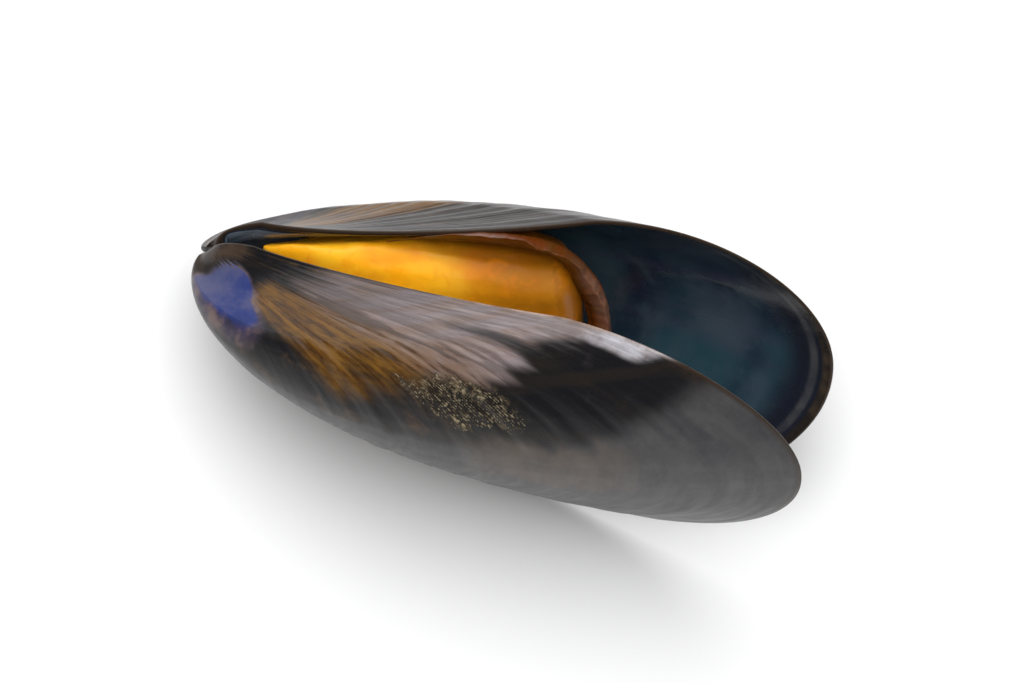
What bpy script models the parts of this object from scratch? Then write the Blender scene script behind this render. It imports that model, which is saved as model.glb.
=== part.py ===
"""A steamed mussel: two gaping valves, the ligament that joins them, and the cooked meat in the lower one.

Each valve is a growth spiral. Its margin is one closed outline. The outline shrinks towards the umbo while
it turns about an axis through the umbo, so each ring of the mesh is a growth line of the shell.
Outlines and sections are in shell lengths, in the frame of a valve: x from the umbo to the back end,
y towards the hinge side, z out of the commissure, which is the plane where shut valves meet.
"""

import math

import bmesh
import bpy
import numpy as np
from mathutils import Matrix, Vector
from mathutils.bvhtree import BVHTree

SHELL_LENGTH = 0.065
GAPE = math.radians(32.7)
HINGE_LINE = math.radians(38.0)
HINGE_SEAM = 0.0008
LIGAMENT_CLEARANCE = 0.0006
PRESS_CLEARANCE = 0.00055
PRESS_STEP = 0.00005

# How the mussel lies: rolled about its length onto the lower valve, then tipped down onto the umbo's half.
REST_ROLL = math.radians(-128.0)
REST_PITCH = math.radians(-15.5)
FLAT_SPOT_DEPTH = 0.0002

# The growth spiral of the outer and of the inner surface.
SPIRAL_AXIS = math.radians(80.3)
OUTER_RATE = 0.595
INNER_RATE = 0.545
BEAK_SCALE = 0.03
CAVITY_END_SCALE = 0.14
OUTER_RINGS = 16
INNER_RINGS = 11
POINTS_PER_SPAN = 8
# Above 1, this sets the outer rings closer together towards the beak, where the shell curls.
BEAK_CROWDING = 1.4
# The lip has this share of the wall's width, the wall gets its full width over the bevel, whose steepness
# is a power of the ring's scale, and the valve's floor is thicker than the spirals alone make it.
LIP_SHARE = 0.6
LIP_BEVEL = 8
FLOOR_THICKNESS = 0.0055

# The margin's knots: where it is, the arm back, the arm forward, and the width of the lip there.
MARGIN = [
    ((0.012, 0.000), (0.012, 0.022), (-0.002, -0.024), 0.026),
    ((0.090, -0.045), (-0.050, 0.005), (0.080, 0.019), 0.015),
    ((0.620, -0.050), (-0.220, 0.029), (0.200, 0.000), 0.013),
    ((1.000, 0.205), (0.000, -0.120), (0.000, 0.140), 0.012),
    ((0.660, 0.438), (0.170, 0.000), (-0.120, 0.000), 0.013),
    ((0.400, 0.316), (0.060, 0.047), (-0.120, -0.095), 0.018),
]

# Sections of the two lobes of meat in the lower valve: x, y and z of the middle, half width, half depth.
LOWER_LOBE = [
    (0.085, 0.002, 0.022, 0.014, 0.014),
    (0.150, 0.018, 0.040, 0.046, 0.044),
    (0.270, 0.054, 0.066, 0.078, 0.082),
    (0.400, 0.086, 0.076, 0.090, 0.098),
    (0.500, 0.108, 0.066, 0.100, 0.090),
    (0.564, 0.116, 0.056, 0.084, 0.068),
    (0.593, 0.118, 0.050, 0.030, 0.026),
]
UPPER_LOBE = [
    (0.175, 0.088, 0.030, 0.012, 0.012),
    (0.235, 0.126, 0.024, 0.044, 0.044),
    (0.335, 0.178, 0.022, 0.072, 0.070),
    (0.440, 0.222, 0.016, 0.086, 0.078),
    (0.520, 0.250, 0.014, 0.086, 0.072),
    (0.568, 0.266, 0.012, 0.060, 0.052),
    (0.592, 0.272, 0.012, 0.022, 0.020),
]
LOBE_ROUNDNESS = 0.88
LOBE_RINGS = 18
LOBE_POINTS = 24

# The brown mantle edge: its path between the meat and the valve's rim, then round the back of the lobes.
MANTLE_PATH = [
    (0.290, 0.002, -0.022),
    (0.380, -0.006, -0.016),
    (0.480, -0.012, -0.010),
    (0.556, 0.008, -0.004),
    (0.608, 0.064, 0.008),
    (0.626, 0.130, 0.020),
    (0.625, 0.210, 0.014),
    (0.606, 0.285, 0.006),
]
MANTLE_HEIGHT = 0.0032
MANTLE_THICKNESS = 0.0013
MANTLE_WAVE = 0.0006
MANTLE_WAVES = 11
MANTLE_END_SIZE = 0.3
MANTLE_RINGS = 56
MANTLE_POINTS = 10

# The ligament, a low ridge over the seam along the straight hinge line.
LIGAMENT_START = 0.050
LIGAMENT_END = 0.400
LIGAMENT_WIDTH = 0.0022
LIGAMENT_HEIGHT = 0.0012

# Colour and roughness of each piece.
FINISHES = {
    "upper_valve": ((0.020, 0.017, 0.020), 0.32),
    "lower_valve": ((0.020, 0.017, 0.020), 0.32),
    "hinge_ligament": ((0.045, 0.022, 0.012), 0.45),
    "lower_lobe": ((0.86, 0.36, 0.02), 0.35),
    "upper_lobe": ((0.86, 0.36, 0.02), 0.35),
    "mantle_edge": ((0.16, 0.06, 0.02), 0.40),
}


def clear_scene():
    for obj in list(bpy.data.objects):
        bpy.data.objects.remove(obj)


def part_collection():
    collection = bpy.data.collections.new("steamed_mussel")
    bpy.context.scene.collection.children.link(collection)
    return collection


def material(name):
    colour, roughness = FINISHES[name]
    made = bpy.data.materials.new(name)
    made.use_nodes = True
    shader = made.node_tree.nodes["Principled BSDF"]
    shader.inputs["Base Color"].default_value = (*colour, 1.0)
    shader.inputs["Roughness"].default_value = roughness
    shader.inputs["Metallic"].default_value = 0.0
    return made


def smooth_between(table, steps):
    """A Catmull-Rom curve through the rows of a table, read at this many even steps of its rows."""
    rows = np.array(table, float)
    padded = np.vstack([2 * rows[0] - rows[1], rows, 2 * rows[-1] - rows[-2]])
    place = np.linspace(0, len(rows) - 1, steps)
    span = np.minimum(place.astype(int), len(rows) - 2)
    t = (place - span)[:, None]
    before, start, end, after = (padded[span + k] for k in range(4))
    return 0.5 * (
        2 * start
        + (end - before) * t
        + (2 * before - 5 * start + 4 * end - after) * t**2
        + (3 * start - before - 3 * end + after) * t**3
    )


def margin(inset):
    """The closed margin in the commissure, moved inwards by the lip's width where inset is 1."""
    knots = []
    for place, back, forward, lip in MARGIN:
        direction = np.array(forward) - np.array(back)
        inwards = np.array([-direction[1], direction[0]]) / np.hypot(*direction)
        knots.append((np.array(place) + inset * lip * inwards, np.array(back), np.array(forward)))
    t = (np.arange(POINTS_PER_SPAN) / POINTS_PER_SPAN)[:, None]
    spans = []
    for (start, _, leave), (end, arrive, _) in zip(knots, knots[1:] + knots[:1]):
        spans.append(
            (1 - t) ** 3 * start
            + 3 * (1 - t) ** 2 * t * (start + leave)
            + 3 * (1 - t) * t**2 * (end + arrive)
            + t**3 * end
        )
    return np.concatenate(spans)


def growth_line(outline, scale, rate):
    """The outline at an earlier size, turned about the spiral's axis by the growth since then."""
    turn = rate * math.log(1 / scale)
    axis = np.array([math.cos(SPIRAL_AXIS), math.sin(SPIRAL_AXIS)])
    away = np.array([math.sin(SPIRAL_AXIS), -math.cos(SPIRAL_AXIS)])
    along = outline @ axis
    out = outline @ away
    flat = along[:, None] * axis + (out * math.cos(turn))[:, None] * away
    return scale * np.column_stack([flat, out * math.sin(turn)])


def valve_rings():
    """Rings from the beak over the outside to the margin, then over the inside to the cavity's end."""
    outside = margin(0)
    outer_scales = BEAK_SCALE + (1 - BEAK_SCALE) * np.linspace(0, 1, OUTER_RINGS) ** BEAK_CROWDING
    rings = [growth_line(outside, scale, OUTER_RATE) for scale in outer_scales]
    for scale in np.linspace(1, CAVITY_END_SCALE, INNER_RINGS):
        from_lip = 1 - scale**LIP_BEVEL
        wall = (LIP_SHARE + (1 - LIP_SHARE) * from_lip) / scale
        ring = growth_line(margin(wall), scale, INNER_RATE)
        ring[:, 2] = np.maximum(ring[:, 2] - FLOOR_THICKNESS * from_lip, 0)
        rings.append(ring)
    return rings


def loft(name, rings, collection, parent):
    """A closed skin over rings of equal count, with both ends closed by a fan; lengths in metres."""
    mesh = bmesh.new()
    rows = [[mesh.verts.new(point) for point in ring] for ring in rings]
    count = len(rows[0])
    for row, following in zip(rows, rows[1:]):
        for i in range(count):
            j = (i + 1) % count
            mesh.faces.new((row[i], row[j], following[j], following[i]))
    for row, ring in ((rows[0], rings[0]), (rows[-1], rings[-1])):
        tip = mesh.verts.new(np.mean(ring, axis=0))
        for i in range(count):
            mesh.faces.new((row[i], row[(i + 1) % count], tip))
    bmesh.ops.recalc_face_normals(mesh, faces=mesh.faces)
    data = bpy.data.meshes.new(name)
    mesh.to_mesh(data)
    mesh.free()
    data.shade_smooth()
    data.materials.append(material(name))
    obj = bpy.data.objects.new(name, data)
    collection.objects.link(obj)
    obj.parent = parent
    return obj


def empty(name, matrix, collection, parent=None):
    frame = bpy.data.objects.new(name, None)
    collection.objects.link(frame)
    frame.parent = parent
    frame.matrix_local = matrix
    return frame


def valve_frame(side):
    """Half the seam away from the other valve, then opened by half the gape about the hinge line."""
    hinge = Vector((math.cos(HINGE_LINE), math.sin(HINGE_LINE), 0))
    opened = Matrix.Rotation(-side * GAPE / 2, 4, hinge)
    return opened @ Matrix.Translation((0, 0, side * HINGE_SEAM / 2))


def valve(name, side, collection, frame):
    """A valve in its own frame; side is 1 for the lower valve, whose hollow is at positive z, else -1."""
    facing = np.array([1, 1, side])
    rings = [SHELL_LENGTH * ring * facing for ring in valve_rings()]
    return loft(name, rings, collection, frame)


def surface_of(obj, frame):
    """A search tree of an object's faces, in the frame of another object."""
    to_frame = frame.matrix_world.inverted() @ obj.matrix_world
    points = [to_frame @ vertex.co for vertex in obj.data.vertices]
    faces = [tuple(polygon.vertices) for polygon in obj.data.polygons]
    return BVHTree.FromPolygons(points, faces)


def near_any(obstacles, point):
    return any(surface.find_nearest(point, PRESS_CLEARANCE)[0] is not None for surface in obstacles)


def pressed(ring, middle, obstacles):
    """The ring with each point drawn back towards the middle until it clears what it is pressed against."""
    middle = Vector(middle)
    kept = []
    for point in ring:
        reach = Vector(point) - middle
        direction = reach.normalized()
        length = reach.length
        for surface in obstacles:
            hit_point, _, _, distance = surface.ray_cast(middle, direction, length)
            if hit_point is not None:
                length = distance
        while length > PRESS_STEP and near_any(obstacles, middle + direction * length):
            length -= PRESS_STEP
        kept.append(middle + direction * length)
    return kept


def lobe(name, table, collection, frame, obstacles):
    """A lobe of meat: upright oval sections, pressed against the shell and what already lies there."""
    angles = np.linspace(0, 2 * math.pi, LOBE_POINTS, endpoint=False)
    oval = np.column_stack([np.cos(angles), np.sin(angles)])
    oval = np.sign(oval) * np.abs(oval) ** LOBE_ROUNDNESS
    rings = []
    for x, y, z, half_width, half_depth in SHELL_LENGTH * smooth_between(table, LOBE_RINGS):
        flat = oval * (half_width, half_depth) + (y, z)
        section = np.column_stack([np.full(LOBE_POINTS, x), flat])
        rings.append(pressed(section, (x, y, z), obstacles))
    return loft(name, rings, collection, frame)


def mantle_edge(name, collection, frame, obstacles):
    """A wavy band, upright in the valve, with tapered ends."""
    path = SHELL_LENGTH * smooth_between(MANTLE_PATH, MANTLE_RINGS)
    along = np.gradient(path, axis=0)
    across = np.column_stack([-along[:, 1], along[:, 0], np.zeros(MANTLE_RINGS)])
    across /= np.linalg.norm(across, axis=1)[:, None]
    steps = np.linspace(0, 1, MANTLE_RINGS)
    taper = np.maximum(np.sin(math.pi * steps) ** 0.5, MANTLE_END_SIZE)
    wave = MANTLE_WAVE * np.sin(2 * math.pi * MANTLE_WAVES * steps) * taper
    angles = np.linspace(0, 2 * math.pi, MANTLE_POINTS, endpoint=False)
    rings = []
    for middle, sideways, size, shift in zip(path, across, taper, wave):
        upright = np.sin(angles)
        width = size * MANTLE_THICKNESS / 2 * np.cos(angles) + shift * np.maximum(-upright, 0)
        section = middle + width[:, None] * sideways
        section[:, 2] += size * MANTLE_HEIGHT / 2 * upright
        rings.append(pressed(section, middle, obstacles))
    return loft(name, rings, collection, frame)


def ligament(name, collection, frame):
    """A spindle over the seam, on the outer side of the hinge line."""
    length = SHELL_LENGTH * (LIGAMENT_END - LIGAMENT_START) / math.cos(HINGE_LINE)
    middle_x = SHELL_LENGTH * (LIGAMENT_START + LIGAMENT_END) / 2
    ball = bmesh.new()
    bmesh.ops.create_uvsphere(ball, u_segments=12, v_segments=14, radius=0.5)
    bmesh.ops.rotate(ball, verts=ball.verts, matrix=Matrix.Rotation(math.pi / 2, 3, "Y"))
    bmesh.ops.scale(ball, verts=ball.verts, vec=(length, LIGAMENT_HEIGHT, LIGAMENT_WIDTH))
    data = bpy.data.meshes.new(name)
    ball.to_mesh(data)
    ball.free()
    data.shade_smooth()
    data.materials.append(material(name))
    obj = bpy.data.objects.new(name, data)
    collection.objects.link(obj)
    obj.parent = frame
    outwards = Vector((-math.sin(HINGE_LINE), math.cos(HINGE_LINE), 0))
    lift = LIGAMENT_HEIGHT / 2 + LIGAMENT_CLEARANCE
    on_line = Vector((middle_x, middle_x * math.tan(HINGE_LINE), 0))
    obj.location = on_line + outwards * lift
    obj.rotation_euler = (0, 0, HINGE_LINE)
    return obj


def world_points(objects):
    bpy.context.view_layer.update()
    return np.array([obj.matrix_world @ vertex.co for obj in objects for vertex in obj.data.vertices])


def set_down(resting, objects):
    """Centres the object over the origin, with the flat spot's depth below the floor."""
    points = world_points(objects)
    low = points.min(axis=0)
    high = points.max(axis=0)
    centre = (low + high) / 2
    resting.location = (-centre[0], -centre[1], -low[2] - FLAT_SPOT_DEPTH)
    bpy.context.view_layer.update()


def cut_flat_spot(obj):
    """Cuts off what lies below the floor and closes the cut, so that the shell rests on a flat spot."""
    to_local = obj.matrix_world.inverted()
    floor_point = to_local @ Vector((0, 0, 0))
    down = (to_local.to_3x3() @ Vector((0, 0, -1))).normalized()
    mesh = bmesh.new()
    mesh.from_mesh(obj.data)
    everything = mesh.verts[:] + mesh.edges[:] + mesh.faces[:]
    bmesh.ops.bisect_plane(
        mesh, geom=everything, plane_co=floor_point, plane_no=down, clear_outer=True, dist=1e-7
    )
    open_edges = [edge for edge in mesh.edges if edge.is_boundary]
    bmesh.ops.holes_fill(mesh, edges=open_edges, sides=0)
    bmesh.ops.recalc_face_normals(mesh, faces=mesh.faces)
    mesh.to_mesh(obj.data)
    mesh.free()


def main():
    clear_scene()
    collection = part_collection()
    rest_turn = Matrix.Rotation(REST_PITCH, 4, "Y") @ Matrix.Rotation(REST_ROLL, 4, "X")
    resting = empty("resting", rest_turn, collection)
    lower_frame = empty("lower_frame", valve_frame(1), collection, resting)
    upper_frame = empty("upper_frame", valve_frame(-1), collection, resting)
    bpy.context.view_layer.update()

    lower_valve = valve("lower_valve", 1, collection, lower_frame)
    upper_valve = valve("upper_valve", -1, collection, upper_frame)
    hinge_ligament = ligament("hinge_ligament", collection, resting)
    bpy.context.view_layer.update()

    obstacles = [surface_of(shell, lower_frame) for shell in (lower_valve, upper_valve)]
    lower_lobe = lobe("lower_lobe", LOWER_LOBE, collection, lower_frame, obstacles)
    bpy.context.view_layer.update()
    obstacles.append(surface_of(lower_lobe, lower_frame))
    upper_lobe = lobe("upper_lobe", UPPER_LOBE, collection, lower_frame, obstacles)
    bpy.context.view_layer.update()
    obstacles.append(surface_of(upper_lobe, lower_frame))
    edge = mantle_edge("mantle_edge", collection, lower_frame, obstacles)

    pieces = [lower_valve, upper_valve, hinge_ligament, lower_lobe, upper_lobe, edge]
    set_down(resting, pieces)
    cut_flat_spot(lower_valve)


main()
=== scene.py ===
"""The looks of a steamed mussel: streaked valves, dark nacre, moist orange meat and a brown mantle edge.

The valves repeat the growth spiral of the CAD model at a finer grain, so a place on a valve has two
natural coordinates: how far round the margin it lies, from 0 at the umbo over the gaping side (0.25)
and the back end (0.48) to the hinge (0.9), and its growth, from 0 at the beak to 1 at the margin.
Relief and colour patches are laid out in those coordinates. A place's reach is how far it lies from
the beak in the plane of its growth line, in shell lengths.
"""

import math
from types import SimpleNamespace

import bmesh
import bpy
import numpy as np
from mathutils import Matrix, Vector, noise


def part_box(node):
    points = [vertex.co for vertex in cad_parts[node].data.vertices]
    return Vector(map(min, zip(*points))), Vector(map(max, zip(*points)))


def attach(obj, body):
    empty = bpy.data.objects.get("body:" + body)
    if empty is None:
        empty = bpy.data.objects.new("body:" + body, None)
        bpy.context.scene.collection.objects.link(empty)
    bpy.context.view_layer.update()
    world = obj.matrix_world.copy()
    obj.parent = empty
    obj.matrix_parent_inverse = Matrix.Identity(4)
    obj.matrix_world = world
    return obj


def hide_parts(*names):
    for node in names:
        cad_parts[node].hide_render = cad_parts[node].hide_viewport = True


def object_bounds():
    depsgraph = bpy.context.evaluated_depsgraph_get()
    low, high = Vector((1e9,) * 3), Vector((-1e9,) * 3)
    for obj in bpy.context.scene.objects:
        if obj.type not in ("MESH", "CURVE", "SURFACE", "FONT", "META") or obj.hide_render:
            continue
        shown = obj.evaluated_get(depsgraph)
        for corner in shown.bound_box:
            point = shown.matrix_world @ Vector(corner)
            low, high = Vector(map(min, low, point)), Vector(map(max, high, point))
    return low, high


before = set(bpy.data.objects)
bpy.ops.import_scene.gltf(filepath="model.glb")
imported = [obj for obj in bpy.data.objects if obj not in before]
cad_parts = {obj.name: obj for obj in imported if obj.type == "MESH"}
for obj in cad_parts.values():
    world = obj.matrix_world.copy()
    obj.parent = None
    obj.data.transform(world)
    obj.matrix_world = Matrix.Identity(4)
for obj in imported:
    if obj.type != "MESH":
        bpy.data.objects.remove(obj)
CAD_BOX = [list(corner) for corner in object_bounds()]

MM = 0.001

# The spiral and the pose, as in the CAD model.
SHELL_LENGTH = 0.065
GAPE = math.radians(32.7)
HINGE_LINE = math.radians(38.0)
HINGE_SEAM = 0.0008
REST_ROLL = math.radians(-128.0)
REST_PITCH = math.radians(-15.5)
SPIRAL_AXIS = math.radians(80.3)
OUTER_RATE = 0.595
INNER_RATE = 0.545
BEAK_SCALE = 0.03
CAVITY_END_SCALE = 0.14
LIP_SHARE = 0.6
LIP_BEVEL = 8
FLOOR_THICKNESS = 0.0055
CAD_OUTER_RINGS = 16
CAD_POINTS_PER_SPAN = 8
CAD_BEAK_CROWDING = 1.4
MARGIN = [  # place, arm back, arm forward, width of the lip
    ((0.012, 0.000), (0.012, 0.022), (-0.002, -0.024), 0.026),
    ((0.090, -0.045), (-0.050, 0.005), (0.080, 0.019), 0.015),
    ((0.620, -0.050), (-0.220, 0.029), (0.200, 0.000), 0.013),
    ((1.000, 0.205), (0.000, -0.120), (0.000, 0.140), 0.012),
    ((0.660, 0.438), (0.170, 0.000), (-0.120, 0.000), 0.013),
    ((0.400, 0.316), (0.060, 0.047), (-0.120, -0.095), 0.018),
]
MANTLE_PATH = [
    (0.290, 0.002, -0.022),
    (0.380, -0.006, -0.016),
    (0.480, -0.012, -0.010),
    (0.556, 0.008, -0.004),
    (0.608, 0.064, 0.008),
    (0.626, 0.130, 0.020),
    (0.625, 0.210, 0.014),
    (0.606, 0.285, 0.006),
]

# How finely the valves are meshed.
AROUND = 360
OUTER_RINGS = 190
INNER_RINGS = 76
LIP_RINGS = 6
OUTER_CROWDING = 1.15
INNER_CROWDING = 1.6
FINE_BEAK_SCALE = 0.016
LIP_BULGE = 0.00018

# Relief of the shell, in metres, and the growth at which it paused and left a check.
SWELL = 0.00022
GROWTH_RELIEF = 0.00009
CHECK_DEPTH = 0.00006
CHECK_WIDTH = 0.008
CHECKS = (0.46, 0.63, 0.79, 0.91, 0.965)
STREAK_RELIEF = 0.000012
WORN_DEPTH = 0.00005
PIT_DEPTH = 0.00012
INSIDE_SWELL = 0.00012
SCAR_DEPTH = 0.00012
SCAR_PLACE = (0.46, 0.84)
SCAR_SIZE = (0.035, 0.055)

# The growth before the margin over which the relief dies away, so that the lip stays even.
CALM_LIP = 0.03

# Ends of the finishes, as pairs of one coordinate and the limit of the other there.
WORN_END = ((0.05, 0.62), (0.1, 0.5), (0.16, 0.39), (0.24, 0.35), (0.32, 0.295), (0.42, 0.2))
BRONZE_END = ((0.38, 0.41), (0.48, 0.37), (0.62, 0.33))
LILAC_END = (
    (0.6, 0.35), (0.7, 0.345), (0.79, 0.322), (0.82, 0.302), (0.88, 0.292), (0.93, 0.3), (1.0, 0.345)
)
LILAC_START = ((0.08, 0.8), (0.11, 0.7), (0.15, 0.63), (0.2, 0.6), (0.36, 0.6))
BLOOM_AND_SHEEN_START = ((0.35, 0.462), (0.6, 0.455), (0.75, 0.432), (0.82, 0.412), (1.0, 0.378))
LOWER_VALVE_SHARES = {"worn": 0.35, "lilac": 0.12, "silver_and_highlight": 0.0, "bloom_and_sheen": 0.5, "crusty": 0.3}

# How far the inner wall goes below the rim while the growth falls from 1 to 0, in shell lengths.
WALL_LENGTH = 0.5

# How strongly the lip's colours and the scar's show at most.
LIP_SHOWS = 0.9
SCAR_SHOWS = 0.5

# Grain and relief of the meat, in metres; its reddest place, and how far that reaches.
MEAT_VOXEL = 0.36 * MM
MEAT_RELAXATIONS = 20
MEAT_LUMPS = 0.00022
MEAT_PLEATS = 0.00026
MEAT_WRINKLES = 0.00007
MEAT_CREASES = 0.00016
MEAT_STRIP = 0.0001
MEAT_CROSS_FOLDS = 0.00026
MEAT_BACK_BULGE = 0.00045
BLUSH_PLACE = (-0.004, 0.008, 0.0151)
BLUSH_REACH = 0.0032

# The mantle edge: its mesh, its section and its waves, each with a depth, a count and a seed.
MANTLE_STEPS = 700
MANTLE_AROUND = 40
MANTLE_WIDTH = 0.0021
MANTLE_HEIGHT = 0.0029
MANTLE_THINNEST = 0.06
MANTLE_BLUNT_END = 0.14
MANTLE_WAVES = ((0.0003, 24, 5), (0.00008, 64, 7), (0.00003, 150, 8))
MANTLE_TUCK = 0.0009
MANTLE_START_SHIFT = 0.001
MANTLE_START_LIFT = 0.001
MANTLE_PLUMP = 0.0009
MANTLE_GRAIN = 0.00007
MANTLE_GROOVE = 0.0001

# The ligament's mesh, and how far it stands out.
LIGAMENT_VOXEL = 0.16 * MM
LIGAMENT_RELAXATIONS = 6
LIGAMENT_SWELL = 0.0003
LIGAMENT_GRAIN = 0.00008

# Crumbs of crust on the near valve.
CRUST_SEED = 7
CRUST_COUNT = 520
CRUST_SIZE = 0.00006
CRUST_EDGE = 0.35
CRUMB_VARIETY = 0.45
CRUMB_STRETCH = (1.0, 4.0)
CRUMB_LUMPS = 0.25
CRUMB_TURN = 0.3
CRUMB_HEIGHT = 0.6

# The camera, the surroundings, and each lamp's name, size, place and power.
VIEW_AZIMUTH = math.radians(-14.2)
VIEW_ELEVATION = math.radians(77.8)
VIEW_ROLL = math.radians(22.9)
LENS = 240.0
FRAME_WIDTH = 0.106
HORIZON_LIGHT = 0.4
OVERHEAD_LIGHT = 0.06
OVERHEAD_FADE = (0.1, 0.75)
BEHIND_SHARE = 0.6
FRONT_SHARE = 2.0
FRONT_FADE = (0.3, -0.8)
KEY_LIGHT = ("key", 0.8, (-0.24, 0.52, 0.46), 1.6)
TOP_LIGHT = ("top", 1.4, (-0.05, 0.2, 0.95), 16.0)
SKY_WHITE = (0.98, 0.99, 1.0, 1.0)
FLOOR_WHITE = (0.86, 0.86, 0.86, 1.0)
FLOOR_SIZE = 4.0

# Colours of the outside, in linear light.
BLUE_BLACK = (0.005, 0.005, 0.0065)
BROWN_BLACK = (0.01, 0.008, 0.007)
SHELL_BROWN = (0.07, 0.038, 0.016)
DEEP_BRONZE = (0.07, 0.026, 0.002)
BRONZE = (0.145, 0.066, 0.007)
OCHRE = (0.165, 0.082, 0.012)
ROSE_LILAC = (0.165, 0.118, 0.104)
COOL_LILAC = (0.185, 0.15, 0.158)
PALE_LILAC = (0.29, 0.24, 0.225)
EARLY_TAN = (0.135, 0.072, 0.034)
# Pale worn shell along the margin, with a painted highlight in it.
SILVER_AND_HIGHLIGHT = (0.44, 0.44, 0.48)
# A dull bloom with a painted reflection of the pale surroundings, over the back end and the flank.
BLOOM_AND_SHEEN_GREY = (0.036, 0.036, 0.039)
BLOOM_AND_SHEEN_LIGHT = (0.052, 0.052, 0.055)
BLOOM_AND_SHEEN_WARM = (0.074, 0.07, 0.066)
DUST = (0.105, 0.08, 0.062)
CRUST_GROUND = (0.012, 0.009, 0.006)
CRUST_SPECK = (0.17, 0.125, 0.065)
WORN_BLUE = (0.006, 0.02, 0.13)
WORN_PALE = (0.045, 0.05, 0.14)
WORN_PURPLE = (0.045, 0.034, 0.075)
WORN_ROSE = (0.13, 0.088, 0.085)
BEAK_BLUE = (0.105, 0.105, 0.15)
BEAK_DARK = (0.012, 0.007, 0.005)
BEAK_BROWN = (0.05, 0.03, 0.018)
LIP_TAN = (0.17, 0.105, 0.07)
LIP_PALE = (0.4, 0.29, 0.23)
LIP_DARK = (0.03, 0.017, 0.009)

# Colours of the inside.
NACRE_BLUE = (0.009, 0.014, 0.03)
NACRE_TEAL = (0.018, 0.05, 0.068)
NACRE_GREY = (0.05, 0.066, 0.095)
NACRE_VIOLET = (0.045, 0.04, 0.075)
NACRE_MOTTLE = (0.04, 0.062, 0.078)
NACRE_PALE = (0.1, 0.13, 0.17)
NACRE_WHITE = (0.2, 0.22, 0.25)
BORDER_DARK = (0.009, 0.011, 0.019)
# A pale line inside the rim: the shell's edge, with a painted highlight along it.
RIM_EDGE_AND_HIGHLIGHT = (0.06, 0.06, 0.064)
INNER_LIP_DARK = (0.016, 0.012, 0.01)
INNER_LIP_BROWN = (0.045, 0.032, 0.022)
SCAR_GREY = (0.055, 0.07, 0.095)

# Colours of the soft parts, the ligament and the crumbs.
MEAT_ORANGE = (0.96, 0.39, 0.005)
MEAT_YELLOW = (0.99, 0.5, 0.018)
MEAT_RUST = (0.86, 0.2, 0.015)
MEAT_RED = (0.95, 0.18, 0.006)
# Painted light on the meat's pleat tops and painted shade in the pleat hollows; the shade colour also
# darkens the wrinkles as a deeper orange.
PLEAT_PAINTED_LIGHT = (0.98, 0.52, 0.045)
DEEP_ORANGE_AND_SHADE = (0.72, 0.21, 0.004)
FOLD_SHADE = (0.7, 0.215, 0.004)
MEAT_BACK = (0.31, 0.098, 0.003)
MEAT_CREASE_SHADE = (0.2, 0.055, 0.003)
MEAT_BROWN_AND_SHADE = (0.26, 0.08, 0.004)
MANTLE_AMBER = (0.3, 0.105, 0.004)
MANTLE_BROWN = (0.12, 0.026, 0.002)
MANTLE_OLIVE = (0.07, 0.032, 0.005)
MANTLE_GROOVE_SHADE = (0.03, 0.012, 0.003)
MANTLE_PALE = (0.19, 0.095, 0.06)
LIGAMENT_DARK = (0.028, 0.014, 0.008)
LIGAMENT_BROWN = (0.085, 0.042, 0.018)
CRUMB_DARK = (0.03, 0.023, 0.014)
CRUMB_PALE = (0.215, 0.172, 0.108)


def new_object(name, data):
    obj = bpy.data.objects.new(name, data)
    bpy.context.scene.collection.objects.link(obj)
    return obj


def make_camera():
    """Looks down on the mussel along the photograph's line of sight, rolled as the photograph is."""
    data = bpy.data.cameras.new("camera")
    data.lens = LENS
    camera = new_object("camera", data)
    turn = Matrix.Rotation(VIEW_AZIMUTH, 4, "Z") @ Matrix.Rotation(math.pi / 2 - VIEW_ELEVATION, 4, "X")
    turn = turn @ Matrix.Rotation(VIEW_ROLL, 4, "Z")
    low, high = (Vector(corner) for corner in CAD_BOX)
    distance = FRAME_WIDTH * LENS / data.sensor_width
    away = turn @ Vector((0, 0, distance))
    camera.matrix_world = Matrix.Translation((low + high) / 2 + away) @ turn
    data.clip_start = distance / 10
    bpy.context.scene.camera = camera


def fade_in(low, high, x):
    """0 below low, 1 above high, and smooth in between."""
    t = np.clip((x - low) / (high - low), 0, 1)
    return t * t * (3 - 2 * t)


def fade_out(low, high, x):
    return 1 - fade_in(low, high, x)


def band(low, high, soft, x):
    """1 from low to high, 0 outside, and soft at both ends."""
    return fade_in(low - soft, low + soft, x) * fade_out(high - soft, high + soft, x)


def read_table(table, places):
    """Values between the pairs of a table."""
    return np.interp(places, *zip(*table))


def noise_at(points, cell, seed):
    """Smooth noise from -1 to 1 at each point, with bumps about as large as the cell."""
    shift = Vector((17.3, 5.1, 9.7)) * seed
    return np.array([noise.noise(Vector(point) / cell + shift) for point in points])


def layered_noise(points, cell, seed, layers=3):
    total = sum(noise_at(points, cell / 2**k, seed + 11 * k) / 2**k for k in range(layers))
    return total / (2 - 2 ** (1 - layers))


def random_profile(places, count, seed):
    """A smooth random function of one variable from 0 to 1, with values from -1 to 1 at even steps."""
    values = np.random.default_rng(seed).uniform(-1, 1, count + 1)
    at = np.clip(places, 0, 1) * count
    before = np.minimum(at.astype(int), count - 1)
    t = at - before
    blend = t * t * (3 - 2 * t)
    return values[before] * (1 - blend) + values[before + 1] * blend


def smooth_between(table, steps):
    """A Catmull-Rom curve through the rows of a table, read at this many even steps of its rows."""
    rows = np.array(table, float)
    padded = np.vstack([2 * rows[0] - rows[1], rows, 2 * rows[-1] - rows[-2]])
    place = np.linspace(0, len(rows) - 1, steps)
    span = np.minimum(place.astype(int), len(rows) - 2)
    t = (place - span)[:, None]
    before, start, end, after = (padded[span + k] for k in range(4))
    return 0.5 * (
        2 * start
        + (end - before) * t
        + (2 * before - 5 * start + 4 * end - after) * t**2
        + (3 * start - before - 3 * end + after) * t**3
    )


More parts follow.
